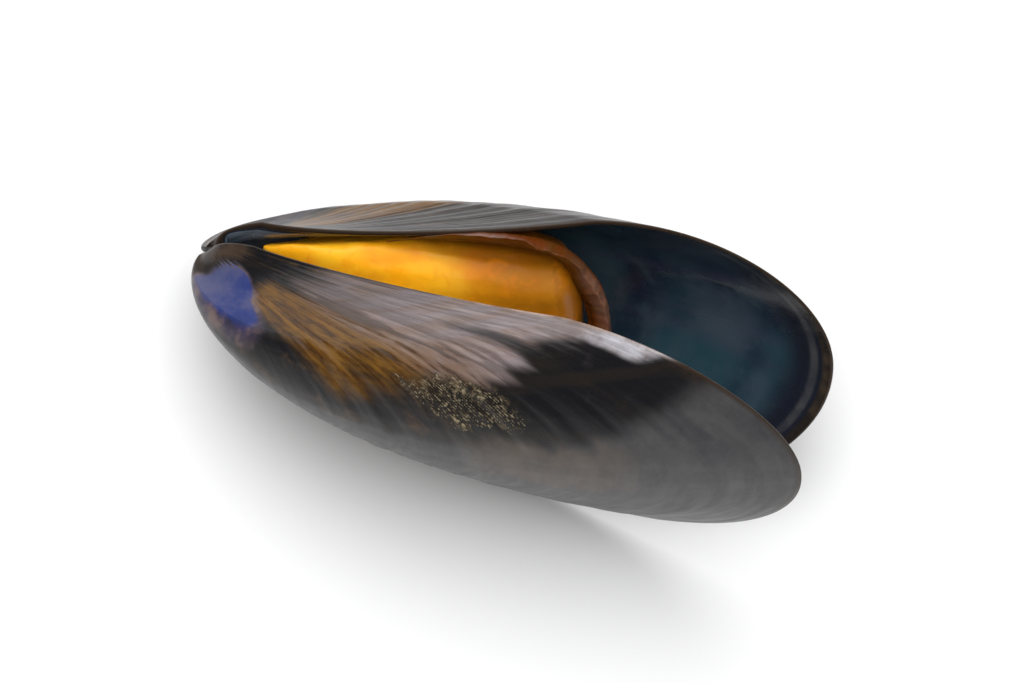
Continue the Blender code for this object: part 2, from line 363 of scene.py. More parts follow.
def margin(inset, places):
    """Points of the margin, moved inwards by the lip's width where inset is 1. A place counts spans."""
    knots = []
    for place, back, forward, lip in MARGIN:
        direction = np.array(forward) - np.array(back)
        inwards = np.array([-direction[1], direction[0]]) / np.hypot(*direction)
        knots.append((np.array(place) + inset * lip * inwards, np.array(back), np.array(forward)))
    points = np.array([knot[0] for knot in knots])
    leave = points + [knot[2] for knot in knots]
    arrive = points + [knot[1] for knot in knots]
    span = places.astype(int) % len(knots)
    following = (span + 1) % len(knots)
    t = (places - places.astype(int))[:, None]
    return (
        (1 - t) ** 3 * points[span]
        + 3 * (1 - t) ** 2 * t * leave[span]
        + 3 * (1 - t) * t**2 * arrive[following]
        + t**3 * points[following]
    )


def even_places(count):
    """Places whose points lie evenly along the margin."""
    dense = np.linspace(0, len(MARGIN), 4001)
    steps = np.linalg.norm(np.diff(margin(0, dense), axis=0), axis=1)
    length = np.concatenate([[0], np.cumsum(steps)])
    return np.interp(np.arange(count) / count * length[-1], length, dense)


def growth_line(outline, scale, rate):
    """The outline at an earlier size, turned about the spiral's axis by the growth since then."""
    turn = rate * math.log(1 / scale)
    axis = np.array([math.cos(SPIRAL_AXIS), math.sin(SPIRAL_AXIS)])
    away = np.array([math.sin(SPIRAL_AXIS), -math.cos(SPIRAL_AXIS)])
    along = outline @ axis
    out = outline @ away
    flat = along[:, None] * axis + (out * math.cos(turn))[:, None] * away
    return scale * np.column_stack([flat, out * math.sin(turn)])


def outer_rings(places, scales):
    outside = margin(0, places)
    return [growth_line(outside, scale, OUTER_RATE) for scale in scales]


def lip_rings(places):
    """The rounded lip, between the outer margin and the inner one."""
    start = margin(0, places)
    end = margin(LIP_SHARE, places)
    rings = []
    for share in np.arange(1, LIP_RINGS + 1) / (LIP_RINGS + 1):
        across = (1 - math.cos(math.pi * share)) / 2
        below = np.full(len(places), -LIP_BULGE / SHELL_LENGTH * math.sin(math.pi * share))
        rings.append(np.column_stack([start + across * (end - start), below]))
    return rings


def inner_rings(places, scales):
    rings = []
    for scale in scales:
        from_lip = 1 - scale**LIP_BEVEL
        wall = (LIP_SHARE + (1 - LIP_SHARE) * from_lip) / scale
        ring = growth_line(margin(wall, places), scale, INNER_RATE)
        ring[:, 2] = np.maximum(ring[:, 2] - FLOOR_THICKNESS * from_lip, 0)
        rings.append(ring)
    return rings


def valve_matrix(side):
    """Half the seam away, then opened by half the gape, then laid down. Side 1 is the lower valve."""
    hinge = Vector((math.cos(HINGE_LINE), math.sin(HINGE_LINE), 0))
    opened = Matrix.Rotation(-side * GAPE / 2, 4, hinge)
    seam = Matrix.Translation((0, 0, side * HINGE_SEAM / 2))
    laid = Matrix.Rotation(REST_PITCH, 4, "Y") @ Matrix.Rotation(REST_ROLL, 4, "X")
    return laid @ opened @ seam


def to_world(rings, side):
    """Points of a valve, laid down, before the shift that centres the mussel over the origin."""
    points = SHELL_LENGTH * np.concatenate(rings) * (1, 1, side)
    matrix = np.array(valve_matrix(side))
    return points @ matrix[:3, :3].T + matrix[:3, 3]


def resting_shift():
    """The shift that the CAD model gave the mussel, read from the upper valve's box."""
    places = np.arange(len(MARGIN) * CAD_POINTS_PER_SPAN) / CAD_POINTS_PER_SPAN
    steps = np.linspace(0, 1, CAD_OUTER_RINGS) ** CAD_BEAK_CROWDING
    rings = outer_rings(places, BEAK_SCALE + (1 - BEAK_SCALE) * steps)
    lowest = to_world(rings, -1).min(axis=0)
    return np.array(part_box("upper_valve")[0]) - lowest


def vertex_arrays(mesh):
    """Places and normals of a mesh's vertices."""
    count = len(mesh.vertices)
    points = np.empty(count * 3, np.float32)
    normals = np.empty(count * 3, np.float32)
    mesh.vertices.foreach_get("co", points)
    mesh.vertex_normals.foreach_get("vector", normals)
    return points.reshape(-1, 3).astype(float), normals.reshape(-1, 3).astype(float)


def push_out(mesh, relief):
    """Moves each vertex along its normal by its relief, and gives the new places."""
    points, normals = vertex_arrays(mesh)
    points = points + normals * relief[:, None]
    mesh.vertices.foreach_set("co", points.astype(np.float32).ravel())
    mesh.update()
    return points


def grid_normals(grid):
    """Unit normals of a grid of rings, whose rows are closed."""
    around = np.roll(grid, -1, axis=1) - np.roll(grid, 1, axis=1)
    along = np.gradient(grid, axis=0)
    normals = np.cross(around, along)
    return normals / np.maximum(np.linalg.norm(normals, axis=2, keepdims=True), 1e-12)


def face_outwards(mesh):
    """Turns the faces of a closed mesh outwards."""
    mesh.calc_loop_triangles()
    corners = np.empty(len(mesh.loop_triangles) * 3, np.int32)
    mesh.loop_triangles.foreach_get("vertices", corners)
    first, second, third = vertex_arrays(mesh)[0][corners.reshape(-1, 3)].transpose(1, 0, 2)
    if np.sum(first * np.cross(second, third)) < 0:
        mesh.flip_normals()


def mesh_of_rings(name, grid):
    """A closed mesh over a grid of closed rings, with a fan over each end."""
    rows, count = grid.shape[:2]
    here = np.arange(rows - 1)[:, None] * count + np.arange(count)
    right = np.arange(rows - 1)[:, None] * count + (np.arange(count) + 1) % count
    quads = np.stack([here, here + count, right + count, right], axis=2).reshape(-1, 4)
    faces = quads.tolist()
    first_tip = rows * count
    last_row = (rows - 1) * count
    for i in range(count):
        j = (i + 1) % count
        faces.append((i, j, first_tip))
        faces.append((last_row + j, last_row + i, first_tip + 1))
    points = np.vstack([grid.reshape(-1, 3), grid[0].mean(axis=0), grid[-1].mean(axis=0)])
    mesh = bpy.data.meshes.new(name)
    mesh.from_pydata(points.tolist(), [], faces)
    face_outwards(mesh)
    mesh.shade_smooth()
    return new_object(name, mesh)


def store(mesh, name, values):
    """Keeps a number, or three, for each vertex; the two fan tips take those of their neighbours."""
    values = np.asarray(values, np.float32)
    kind, field = ("FLOAT_VECTOR", "vector") if values.ndim == 2 else ("FLOAT", "value")
    if len(values) < len(mesh.vertices):
        values = np.concatenate([values, values[:1], values[-1:]])
    mesh.attributes.new(name, kind, "POINT").data.foreach_set(field, values.ravel())


def store_part(mesh, name, where, values):
    """Keeps a number for each vertex of one part of a valve, and 0 for the rest."""
    everywhere = np.zeros(len(where))
    everywhere[where] = values
    store(mesh, name, everywhere)


def ragged_places(around, growth, reach, points, side):
    """Coordinates of the points, shifted so that the finishes end raggedly along the growth lines."""
    drift = layered_noise(points, 9 * MM, 3 + side)
    fine = layered_noise(points, 2.2 * MM, 8 + side)
    line = random_profile(growth + 0.003 * drift, 52, 14 + side)
    return SimpleNamespace(
        around=around,
        growth=growth,
        line=line,
        crisp_u=around + 0.004 * fine,
        crisp_s=growth + 0.004 * fine,
        u=around + 0.008 * drift + 0.006 * fine + 0.01 * line,
        s=growth + 0.03 * drift + 0.012 * fine,
        far=reach + 0.015 * drift + 0.01 * fine,
    )


def worn_share(at):
    """The skin is rubbed off round the umbo, most of all towards the gaping side."""
    gaping = fade_in(0.04, 0.075, at.u) * (1 - 0.45 * fade_in(0.22, 0.34, at.u))
    gaping *= 1 - 0.8 * fade_in(0.36, 0.45, at.u)
    past_end = at.s - read_table(WORN_END, at.around)
    return fade_in(0.024, 0.055, at.far) * fade_out(-0.045, 0.04, past_end) * gaping


def beak_share(at):
    """The dark beak, and a dark strip from it along the first part of the margin."""
    strip = fade_out(0.13, 0.18, at.far) * fade_out(0.038, 0.06, at.u)
    return np.maximum(fade_out(0.024, 0.05, at.far), strip)


def bronze_share(at):
    """A fan over the middle of the valve, and another near the hinge."""
    fan = fade_in(0.085, 0.115, at.u) * fade_out(-0.03, 0.03, at.u - read_table(BRONZE_END, at.growth))
    fan *= fade_in(0.355, 0.415, at.s) * fade_out(0.6, 0.69, at.s) * fade_in(0.115, 0.15, at.far)
    by_the_hinge = band(0.66, 0.92, 0.05, at.u) * band(0.35, 0.9, 0.1, at.s)
    return np.maximum(fan, 0.55 * by_the_hinge)


def lilac_share(at):
    """Later shell on the gaping side, with one dark streak across it."""
    lilac = fade_in(0.09, 0.13, at.u) * fade_out(-0.012, 0.012, at.u - read_table(LILAC_END, at.growth))
    lilac *= 0.55 + 0.45 * fade_in(0.11, 0.22, at.u)
    lilac *= fade_in(-0.035, 0.035, at.s - read_table(LILAC_START, at.around))
    lilac = np.maximum(lilac, fade_in(0.93, 0.95, at.s) * band(0.24, 0.34, 0.008, at.crisp_u))
    dark_streak = band(0.812, 0.858, 0.012, at.crisp_s) * fade_in(0.21, 0.27, at.around)
    return lilac * (1 - 0.85 * dark_streak)


def silver_and_highlight_share(at):
    """A bright strip along the margin before the back end, partly pale worn shell and partly a painted
    highlight.
    """
    silver_and_highlight = band(0.252, 0.36, 0.012, at.crisp_u) * fade_in(0.84, 0.94, at.s)
    return silver_and_highlight * (0.15 + 0.85 * fade_in(0.285, 0.312, at.around) * fade_in(0.915, 0.95, at.growth))


def bloom_and_sheen_share(at):
    """A dull bloom over the back end and the flank, partly real and partly a painted reflection of the
    pale surroundings.
    """
    past_start = at.u - 0.008 * at.line - read_table(BLOOM_AND_SHEEN_START, at.growth)
    return fade_in(-0.012, 0.014, past_start) * fade_out(0.58, 0.72, at.around)


def dusty_share(at):
    """A warm patch low on the flank."""
    return band(0.44, 0.51, 0.014, at.u) * band(0.56, 0.77, 0.05, at.s)


def crusty_share(at):
    """Where the crumbs lie."""
    return band(0.338, 0.42, 0.018, at.u) * band(0.54, 0.672, 0.03, at.s)


def brown_share(at):
    """Brown shows through the black, but hardly in the late shell of the middle."""
    return 1 - 0.9 * fade_in(0.5, 0.62, at.s) * band(0.22, 0.58, 0.03, at.u)


FINISHES = {
    "worn": worn_share,
    "beak": beak_share,
    "bronze": bronze_share,
    "lilac": lilac_share,
    "silver_and_highlight": silver_and_highlight_share,
    "bloom_and_sheen": bloom_and_sheen_share,
    "dusty": dusty_share,
    "crusty": crusty_share,
    "brown": brown_share,
}


def outside_finishes(at, side):
    """How strongly each finish shows at each place of a valve's outside, from 0 to 1."""
    shares = {name: finish(at) for name, finish in FINISHES.items()}
    if side == 1:
        for name, share in LOWER_VALVE_SHARES.items():
            shares[name] *= share
    return shares


def outside_relief(around, growth, reach, points, worn, side):
    """How far the outside stands out, in metres: swells, growth lines, checks and wear."""
    swell = SWELL * layered_noise(points, 14 * MM, 20 + side)
    wander = growth + 0.004 * layered_noise(points, 7 * MM, 30 + side)
    lines = 0.6 * random_profile(wander, 46, 40 + side) + 0.4 * random_profile(wander, 120, 50 + side)
    relief = swell + GROWTH_RELIEF * lines * fade_in(0.1, 0.4, reach)
    for check in CHECKS:
        step = (wander - check) / CHECK_WIDTH
        relief -= CHECK_DEPTH * np.exp(-step * step) * fade_in(0.1, 0.35, reach)
    streaks = random_profile(around, 130, 60 + side)
    relief += STREAK_RELIEF * streaks * fade_in(0.15, 0.5, reach)
    pits = np.maximum(noise_at(points, 1.1 * MM, 70 + side) - 0.25, 0)
    relief -= worn * (WORN_DEPTH + PIT_DEPTH * pits)
    return relief * fade_in(0.03, 0.14, reach)


def muscle_scar(around, growth, points):
    """Where the muscle that closed the valves was fixed to the inside, from 0 to 1."""
    wander = 0.25 * layered_noise(points, 4 * MM, 85)
    across = (around - SCAR_PLACE[0]) / SCAR_SIZE[0]
    along = (growth - SCAR_PLACE[1]) / SCAR_SIZE[1]
    return fade_out(0.55, 1.25, np.hypot(across, along) + wander)


def inside_relief(growth, points, scar, side):
    """Soft swells and the sunken muscle scar."""
    swell = INSIDE_SWELL * layered_noise(points, 11 * MM, 80 + side)
    return (swell + SCAR_DEPTH * scar) * fade_in(0.0, 0.25, 1 - growth)


def store_valve_fields(mesh, side, around, growth, reach, is_inner):
    """What both materials of a valve read, apart from the finishes."""
    turn = 2 * math.pi * around
    depth = np.where(is_inner, (1 - growth) * SHELL_LENGTH * WALL_LENGTH / MM, 0)
    lip = fade_in(0.988, 0.998, growth) * (depth < 0.2)
    pale = band(0.19, 0.345, 0.02, around) * (1 - 0.6 * fade_in(0.285, 0.31, around))
    pale *= side == -1
    store(mesh, "growth", np.column_stack([np.cos(turn), np.sin(turn), growth]))
    store(mesh, "rim_depth", depth)
    store(mesh, "pale_lip", LIP_SHOWS * lip * pale)
    store(mesh, "dark_lip", LIP_SHOWS * lip * fade_out(0.0, 0.3, pale))
    store(mesh, "reach", reach)
    store(mesh, "size", growth)


def use_inside_material(mesh, rows):
    """Gives the second material to the faces from the middle of the lip to the last fan."""
    inside = np.zeros(len(mesh.polygons), int)
    first_inside = (OUTER_RINGS + LIP_RINGS // 2) * AROUND
    fans = (rows - 1) * AROUND
    inside[first_inside:fans] = 1
    inside[fans + 1::2] = 1
    mesh.polygons.foreach_set("material_index", inside)


def make_valve(name, side, shift):
    """A valve from its beak over the outside, round the lip and back along the inside."""
    places = even_places(AROUND)
    outer_steps = np.linspace(0, 1, OUTER_RINGS) ** OUTER_CROWDING
    inner_steps = np.linspace(0, 1, INNER_RINGS) ** INNER_CROWDING
    outer_scales = FINE_BEAK_SCALE + (1 - FINE_BEAK_SCALE) * outer_steps
    inner_scales = 1 - (1 - CAVITY_END_SCALE) * inner_steps
    rings = outer_rings(places, outer_scales) + lip_rings(places) + inner_rings(places, inner_scales)
    rows = len(rings)
    grid = (to_world(rings, side) + shift).reshape(rows, AROUND, 3)
    points = grid.reshape(-1, 3)

    growth = np.repeat(np.concatenate([outer_scales, np.ones(LIP_RINGS), inner_scales]), AROUND)
    around = np.tile(np.arange(AROUND) / AROUND, rows)
    reach = growth * np.tile(np.linalg.norm(margin(0, places), axis=1), rows)
    is_outer = np.repeat(np.arange(rows) < OUTER_RINGS, AROUND)
    is_inner = np.repeat(np.arange(rows) >= OUTER_RINGS + LIP_RINGS, AROUND)

    outer = (around[is_outer], growth[is_outer], reach[is_outer], points[is_outer])
    shares = outside_finishes(ragged_places(*outer, side), side)
    scar = muscle_scar(around[is_inner], growth[is_inner], points[is_inner])
    relief = np.zeros(len(points))
    relief[is_outer] = outside_relief(*outer, shares["worn"], side)
    relief[is_inner] = inside_relief(growth[is_inner], points[is_inner], scar, side)
    relief *= fade_in(0.0, CALM_LIP, 1 - growth)
    normals = grid_normals(grid).reshape(-1, 3)
    middle = points[is_inner].mean(axis=0)
    outwards = np.sign(np.sum(normals[is_outer] * (points[is_outer] - middle), axis=1).sum())
    points = points + outwards * normals * relief[:, None]
    points[:, 2] = np.maximum(points[:, 2], 0)

    obj = mesh_of_rings(name, points.reshape(rows, AROUND, 3))
    store_valve_fields(obj.data, side, around, growth, reach, is_inner)
    store_part(obj.data, "scar", is_inner, SCAR_SHOWS * scar)
    for key, values in shares.items():
        store_part(obj.data, key, is_outer, values)
    use_inside_material(obj.data, rows)
    return obj


class Nodes:
    """A node tree and short ways to add nodes to it; all but add return the socket they make."""

    def __init__(self, owner):
        owner.use_nodes = True
        self.tree = owner.node_tree

    def join(self, value, socket):
        if isinstance(value, bpy.types.NodeSocket):
            self.tree.links.new(value, socket)
        else:
            socket.default_value = value

    def add(self, kind, **values):
        """A node with these values or links in its inputs; in a name, _ stands for a space."""
        node = self.tree.nodes.new(kind)
        for name, value in values.items():
            self.join(value, node.inputs[name.replace("_", " ")])
        return node

    def maths(self, operation, first, second):
        node = self.add("ShaderNodeMath")
        node.operation = operation
        self.join(first, node.inputs[0])
        self.join(second, node.inputs[1])
        return node.outputs[0]

    def times(self, first, *others):
        for other in others:
            first = self.maths("MULTIPLY", first, other)
        return first

    def ranged(self, value, low, high, to_low=0.0, to_high=1.0):
        """Passes smoothly from one number to the other while the value goes from low to high."""
        node = self.add(
            "ShaderNodeMapRange", Value=value, From_Min=low, From_Max=high, To_Min=to_low, To_Max=to_high
        )
        node.interpolation_type = "SMOOTHSTEP"
        return node.outputs["Result"]


class Shader(Nodes):
    """A material's node tree."""

    def __init__(self, name):
        self.material = bpy.data.materials.new(name)
        super().__init__(self.material)

    def set(self, **values):
        for name, value in values.items():
            self.join(value, self.tree.nodes["Principled BSDF"].inputs[name.replace("_", " ")])

    def stored(self, name, output="Fac"):
        node = self.add("ShaderNodeAttribute")
        node.attribute_name = name
        return node.outputs[output]

    def noise(self, scale, detail, roughness=0.5, distortion=0.0, at=None):
        """Noise in space, or over another vector."""
        at = at or self.add("ShaderNodeNewGeometry").outputs["Position"]
        grain = {"Scale": scale, "Detail": detail, "Roughness": roughness, "Distortion": distortion}
        return self.add("ShaderNodeTexNoise", Vector=at, **grain).outputs["Fac"]

    def growth_noise(self, density, detail, roughness=0.5):
        """Noise that follows the growth lines; the third density is the one along the growth."""
        node = self.add("ShaderNodeVectorMath")
        node.operation = "MULTIPLY"
        self.join(self.stored("growth", "Vector"), node.inputs[0])
        self.join(density, node.inputs[1])
        return self.noise(1.0, detail, roughness, at=node.outputs[0])

    def mix(self, factor, first, second):
        node = self.add("ShaderNodeMix", Factor=factor)
        node.data_type = "RGBA"
        for name, value in (("A", first), ("B", second)):
            socket = next(s for s in node.inputs if s.name == name and s.type == "RGBA")
            self.join((*value, 1.0) if isinstance(value, tuple) else value, socket)
        return next(s for s in node.outputs if s.type == "RGBA")

    def between(self, value, limits, first, second, most=1.0):
        """From the first colour to the second, or most of the way, as the value passes its limits."""
        return self.mix(self.ranged(value, *limits, 0.0, most), first, second)

    def bump(self, height, distance, strength, normal=None):
        node = self.add("ShaderNodeBump", Height=height, Distance=distance, Strength=strength)
        if normal is not None:
            self.join(normal, node.inputs["Normal"])
        return node.outputs["Normal"]


def shell_grain(shader):
    """The patterns of the outside: three that follow the growth lines, and two that don't."""
    return SimpleNamespace(
        broad=shader.growth_noise((7, 7, 3), detail=4),
        rings=shader.growth_noise((1.8, 1.8, 26), detail=5, roughness=0.6),
        fine=shader.growth_noise((3.5, 3.5, 75), detail=4, roughness=0.6),
        grit=shader.noise(1400, detail=4, roughness=0.65),
        blotch=shader.noise(300, detail=5, roughness=0.62),
    )


def dark_ground(shader, grain):
    colour = shader.between(grain.broad, (0.42, 0.62), BLUE_BLACK, BROWN_BLACK)
    patchy = shader.times(shader.ranged(grain.rings, 0.5, 0.7), shader.ranged(grain.blotch, 0.4, 0.62))
    return shader.mix(shader.times(shader.stored("brown"), patchy), colour, SHELL_BROWN)


def bronze_layer(shader, grain, colour):
    tone = shader.between(grain.fine, (0.36, 0.64), DEEP_BRONZE, BRONZE)
    tone = shader.between(grain.blotch, (0.55, 0.75), tone, OCHRE, most=0.6)
    streaky = shader.ranged(grain.rings, 0.38, 0.54, 0.4, 1.0)
    streaky = shader.times(streaky, shader.ranged(grain.blotch, 0.32, 0.52, 0.7, 1.0))
    patchy = shader.maths("MAXIMUM", streaky, shader.ranged(grain.broad, 0.38, 0.6, 0.35, 0.8))
    return shader.mix(shader.times(shader.stored("bronze"), patchy), colour, tone)


def lilac_layer(shader, grain, colour):
    """Lilac streaks, tan where the shell was young, and silver along the margin, partly a painted
    highlight.
    """
    size = shader.stored("size")
    tone = shader.between(grain.broad, (0.4, 0.6), ROSE_LILAC, COOL_LILAC)
    tone = shader.between(grain.fine, (0.5, 0.68), tone, PALE_LILAC, most=0.55)
    early = shader.ranged(size, 0.8, 0.62, 0.0, 0.8)
    early = shader.times(early, shader.ranged(grain.blotch, 0.3, 0.6, 0.6, 1.0))
    tone = shader.mix(early, tone, EARLY_TAN)
    streaky = shader.ranged(grain.rings, 0.36, 0.5)
    streaky = shader.times(streaky, shader.ranged(grain.fine, 0.34, 0.5, 0.3, 1.0))
    patchy = shader.maths("MAXIMUM", streaky, shader.ranged(size, 0.6, 0.78, 0.25, 0.7))
    lilac = shader.times(shader.stored("lilac"), patchy)
    colour = shader.mix(lilac, colour, tone)
    blotchy = shader.ranged(grain.blotch, 0.36, 0.58, 0.35, 0.9)
    return shader.mix(shader.times(shader.stored("silver_and_highlight"), lilac, blotchy), colour, SILVER_AND_HIGHLIGHT)


def bloom_and_sheen_layer(shader, grain, colour):
    """The dull bloom with its painted reflection of the pale surroundings, and the dust at its start."""
    tone = shader.between(grain.blotch, (0.35, 0.65), BLOOM_AND_SHEEN_GREY, BLOOM_AND_SHEEN_LIGHT)
    tone = shader.between(grain.rings, (0.44, 0.64), tone, BLOOM_AND_SHEEN_WARM, most=0.5)
    gritty = shader.ranged(grain.grit, 0.25, 0.6, 0.8, 0.95)
    colour = shader.mix(shader.times(shader.stored("bloom_and_sheen"), gritty), colour, tone)
    blotchy = shader.ranged(grain.blotch, 0.3, 0.62, 0.35, 0.75)
    return shader.mix(shader.times(shader.stored("dusty"), blotchy), colour, DUST)


def crust_layer(shader, grain, colour):
    """Dark, speckled ground under the crumbs."""
    crusty = shader.stored("crusty")
    colour = shader.mix(shader.times(crusty, 0.65), colour, CRUST_GROUND)
    gritty = shader.ranged(grain.grit, 0.46, 0.6, 0.0, 0.7)
    speck = shader.times(crusty, gritty, shader.ranged(grain.fine, 0.5, 0.6))
    return shader.mix(speck, colour, CRUST_SPECK)


def worn_layer(shader, grain, colour):
    """Bare blue shell with a purple edge, paler towards the beak, and the beak itself."""
    worn = shader.stored("worn")
    tone = shader.between(grain.blotch, (0.36, 0.62), WORN_BLUE, WORN_PALE)
    edge_tone = shader.between(grain.blotch, (0.4, 0.6), WORN_PURPLE, WORN_ROSE)
    tone = shader.between(worn, (0.85, 0.55), tone, edge_tone)
    tone = shader.between(shader.stored("reach"), (0.12, 0.05), tone, BEAK_BLUE, most=0.45)
    patchy = shader.ranged(shader.maths("ADD", worn, grain.blotch), 0.55, 1.3)
    patchy = shader.times(patchy, shader.ranged(grain.blotch, 0.25, 0.42, 0.75, 1.0))
    colour = shader.mix(patchy, colour, tone)
    beak_tone = shader.between(grain.blotch, (0.42, 0.66), BEAK_DARK, BEAK_BROWN)
    return shader.mix(shader.stored("beak"), colour, beak_tone)


def lip_layer(shader, grain, colour):
    pale_tone = shader.between(grain.blotch, (0.38, 0.66), LIP_TAN, LIP_PALE)
    colour = shader.mix(shader.stored("pale_lip"), colour, pale_tone)
    return shader.mix(shader.stored("dark_lip"), colour, LIP_DARK)


def shell_outside_material():
    shader = Shader("shell_outside")
    grain = shell_grain(shader)
    colour = dark_ground(shader, grain)
    for layer in (bronze_layer, lilac_layer, bloom_and_sheen_layer, crust_layer, worn_layer, lip_layer):
        colour = layer(shader, grain, colour)
    dull = shader.maths("MAXIMUM", shader.stored("worn"), shader.stored("bloom_and_sheen"))
    rough = shader.maths("ADD", shader.ranged(grain.fine, 0.3, 0.7, 0.26, 0.36), shader.times(dull, 0.16))
    away = shader.ranged(shader.stored("reach"), 0.08, 0.3)
    normal = shader.bump(shader.times(grain.rings, away), 0.00008, 0.6)
    normal = shader.bump(shader.times(grain.fine, away), 0.00004, 0.7, normal)
    normal = shader.bump(grain.grit, 0.00002, 0.4, normal)
    shader.set(Base_Color=colour, Roughness=rough, Normal=normal)
    shader.set(Specular_IOR_Level=0.46, Coat_Weight=0.15, Coat_Roughness=0.15)
    return shader.material


def nacre(shader, cloud, rings, mottle):
    """Dark blue and teal mother-of-pearl with soft rays, pale towards the umbo."""
    rays = shader.growth_noise((9, 9, 2), detail=1.5)
    colour = shader.between(cloud, (0.28, 0.72), NACRE_BLUE, NACRE_TEAL)
    colour = shader.between(rings, (0.45, 0.78), colour, NACRE_GREY, most=0.45)
    colour = shader.between(rays, (0.5, 0.8), colour, NACRE_VIOLET, most=0.5)
    colour = shader.between(mottle, (0.42, 0.72), colour, NACRE_MOTTLE, most=0.45)
    pale_tone = shader.between(cloud, (0.3, 0.7), NACRE_PALE, NACRE_WHITE)
    return shader.between(shader.stored("reach"), (0.62, 0.24), colour, pale_tone, most=0.85)


def shell_inside_material():
    shader = Shader("shell_inside")
    depth = shader.stored("rim_depth")
    cloud = shader.noise(110, detail=1.5)
    rings = shader.growth_noise((1.5, 1.5, 20), detail=2)
    fine = shader.noise(900, detail=3)
    rim_mottle = shader.noise(420, detail=3)
    mottle = shader.noise(380, detail=4, roughness=0.6)

    colour = shader.between(depth, (2.8, 1.3), nacre(shader, cloud, rings, mottle), BORDER_DARK)
    # A pale line just inside the rim: the shell's edge, with a painted highlight along it.
    line = shader.times(
        shader.ranged(depth, 0.45, 0.65),
        shader.ranged(depth, 1.05, 0.8),
        shader.ranged(rim_mottle, 0.3, 0.7, 0.35, 0.8),
    )
    colour = shader.mix(line, colour, RIM_EDGE_AND_HIGHLIGHT)
    lip_tone = shader.between(rim_mottle, (0.4, 0.7), INNER_LIP_DARK, INNER_LIP_BROWN)
    colour = shader.between(depth, (0.42, 0.22), colour, lip_tone)
    colour = shader.mix(shader.stored("scar"), colour, SCAR_GREY)
    near_rim = shader.ranged(depth, 6.0, 2.0, 0.25, 1.0)
    normal = shader.bump(rings, 0.0001, 0.5)
    normal = shader.bump(shader.times(mottle, near_rim), 0.00022, 0.6, normal)
    normal = shader.bump(fine, 0.00002, 0.5, normal)
    shader.set(Base_Color=colour, Roughness=shader.ranged(cloud, 0.3, 0.7, 0.2, 0.32), Normal=normal)
    shader.set(Coat_Weight=0.5, Coat_Roughness=0.12)
    return shader.material


def meat_material():
    shader = Shader("mussel_meat")
    cloud = shader.noise(110, detail=3, distortion=0.5)
    rust = shader.noise(190, detail=2)
    grain = shader.noise(2600, detail=3)
    wrinkle = shader.noise(560, detail=4, roughness=0.55, distortion=0.8)
    pleat_light_and_shade = shader.stored("pleat_light_and_shade")
    colour = shader.between(cloud, (0.35, 0.65), MEAT_ORANGE, MEAT_YELLOW)
    colour = shader.between(rust, (0.6, 0.76), colour, MEAT_RUST, most=0.45)
    # Painted light on the pleat tops and painted shade in their hollows.
    colour = shader.between(pleat_light_and_shade, (0.05, 0.55), colour, PLEAT_PAINTED_LIGHT, most=0.55)
    colour = shader.between(pleat_light_and_shade, (-0.05, -0.5), colour, DEEP_ORANGE_AND_SHADE, most=0.6)
    colour = shader.mix(shader.stored("blush"), colour, MEAT_RED)
    # Painted shade in the hollows of the cross folds.
    colour = shader.between(shader.stored("cross_fold_shade"), (0.1, 0.7), colour, FOLD_SHADE, most=0.5)
    colour = shader.mix(shader.times(shader.stored("back_end"), 0.85), colour, MEAT_BACK)
    # Painted shade in the creases round the back end and along the folds.
    colour = shader.mix(shader.stored("crease_shade"), colour, MEAT_CREASE_SHADE)
    # Brown round the back rim, the mantle's own colour, and down the sideways flank, partly painted
    # shade.
    colour = shader.mix(shader.stored("brown_rim_and_shade"), colour, MEAT_BROWN_AND_SHADE)
    colour = shader.between(wrinkle, (0.5, 0.7), colour, DEEP_ORANGE_AND_SHADE, most=0.3)
    normal = shader.bump(cloud, 0.0002, 0.3)
    normal = shader.bump(wrinkle, 0.00014, 0.45, normal)
    normal = shader.bump(grain, 0.00002, 0.4, normal)
    shader.set(Base_Color=colour, Roughness=0.38, Normal=normal)
    shader.set(Subsurface_Weight=0.22, Subsurface_Radius=(1.0, 0.45, 0.1), Subsurface_Scale=0.001)
    shader.set(Coat_Weight=0.35, Coat_Roughness=0.14)
    return shader.material


def mantle_material():
    shader = Shader("mantle_edge")
    cloud = shader.noise(420, detail=4)
    colour = shader.between(shader.stored("across"), (0.15, 0.55), MANTLE_AMBER, MANTLE_BROWN)
    colour = shader.between(cloud, (0.42, 0.62), colour, MANTLE_OLIVE, most=0.65)
    # Painted shade in the grooves.
    colour = shader.mix(shader.stored("shaded_groove"), colour, MANTLE_GROOVE_SHADE)
    pale = shader.times(shader.stored("pale_rim"), shader.ranged(cloud, 0.34, 0.58, 0.45, 1.0))
    colour = shader.mix(pale, colour, MANTLE_PALE)
    shader.set(Base_Color=colour, Roughness=0.45, Normal=shader.bump(cloud, 0.0001, 0.5))
    shader.set(Subsurface_Weight=0.12, Subsurface_Radius=(1.0, 0.4, 0.1), Subsurface_Scale=0.0007)
    shader.set(Coat_Weight=0.25, Coat_Roughness=0.2)
    return shader.material


def ligament_material():
    shader = Shader("ligament")
    cloud = shader.noise(420, detail=4)
    colour = shader.between(cloud, (0.35, 0.65), LIGAMENT_DARK, LIGAMENT_BROWN)
    shader.set(Base_Color=colour, Roughness=0.42, Normal=shader.bump(cloud, 0.00015, 0.7))
    shader.set(Coat_Weight=0.2, Coat_Roughness=0.2)
    return shader.material


def crust_material():
    shader = Shader("crust")
    cloud = shader.noise(2400, detail=2)
    colour = shader.between(cloud, (0.38, 0.66), CRUMB_DARK, CRUMB_PALE)
    shader.set(Base_Color=colour, Roughness=0.75, Normal=shader.bump(cloud, 0.0001, 0.7))
    return shader.material


